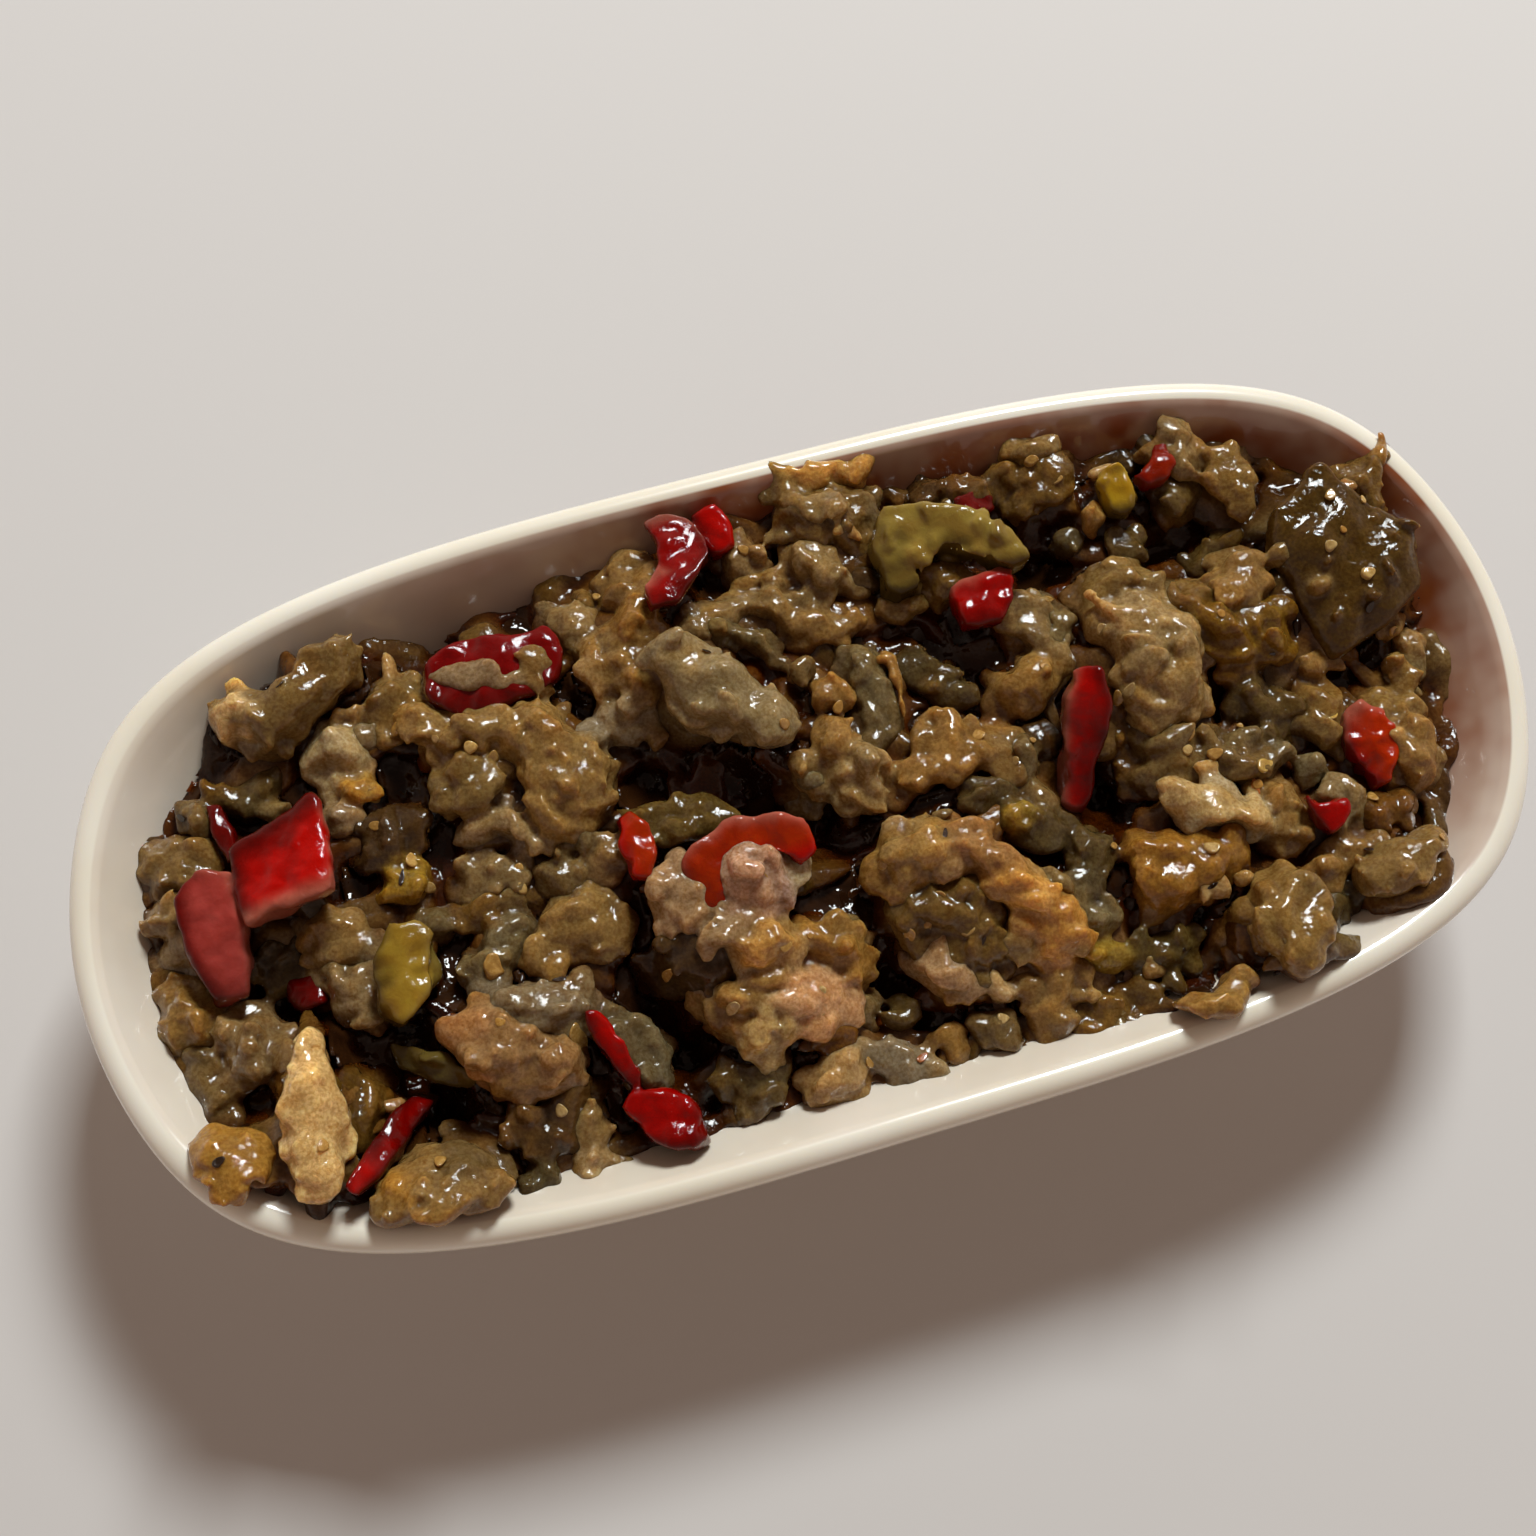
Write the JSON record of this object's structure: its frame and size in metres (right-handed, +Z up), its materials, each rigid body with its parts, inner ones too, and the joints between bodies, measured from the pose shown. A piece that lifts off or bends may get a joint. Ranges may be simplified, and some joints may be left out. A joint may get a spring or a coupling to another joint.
{
  "type": "baba ganoush in an oval dish",
  "caption": "Chunky smoked aubergine salad with red and green pepper pieces, heaped in a small oval white dish.",
  "frame": {"origin": "under the middle of the dish, on the plane that the foot ring rests on", "axes": "+X along the dish's length, +Y across it, +Z up out of the dish"},
  "size_m": [0.1998, 0.0954, 0.0399],
  "materials": {
    "white_glaze": "smooth cream-white glazed porcelain",
    "aubergine_mash": "wet, lumpy, dark olive-brown mashed aubergine",
    "aubergine_flesh": "wet, soft, slightly translucent roasted aubergine flesh",
    "red_pepper": "wet roasted red pepper with skin on one side",
    "green_pepper": "wet roasted green pepper, yellowed by the heat"
  },
  "bodies": {
    "root": {"dish": "white_glaze", "aubergine_mash": "aubergine_mash", "red_pepper_01": "red_pepper", "red_pepper_02": "red_pepper", "red_pepper_03": "red_pepper", "red_pepper_04": "red_pepper", "red_pepper_05": "red_pepper", "red_pepper_06": "red_pepper", "red_pepper_07": "red_pepper", "red_pepper_08": "red_pepper", "red_pepper_09": "red_pepper", "red_pepper_10": "red_pepper", "red_pepper_11": "red_pepper", "red_pepper_12": "red_pepper", "red_pepper_13": "red_pepper", "red_pepper_14": "red_pepper", "red_pepper_15": "red_pepper", "red_pepper_16": "red_pepper", "red_pepper_17": "red_pepper", "red_pepper_18": "red_pepper", "green_pepper_01": "green_pepper", "green_pepper_02": "green_pepper", "green_pepper_03": "green_pepper", "aubergine_piece_01": "aubergine_flesh", "aubergine_piece_02": "aubergine_flesh", "aubergine_piece_03": "aubergine_flesh", "aubergine_piece_04": "aubergine_flesh", "aubergine_piece_05": "aubergine_flesh", "aubergine_piece_06": "aubergine_flesh", "aubergine_piece_07": "aubergine_flesh", "aubergine_piece_08": "aubergine_flesh", "aubergine_piece_09": "aubergine_flesh"}
  },
  "joints": []
}
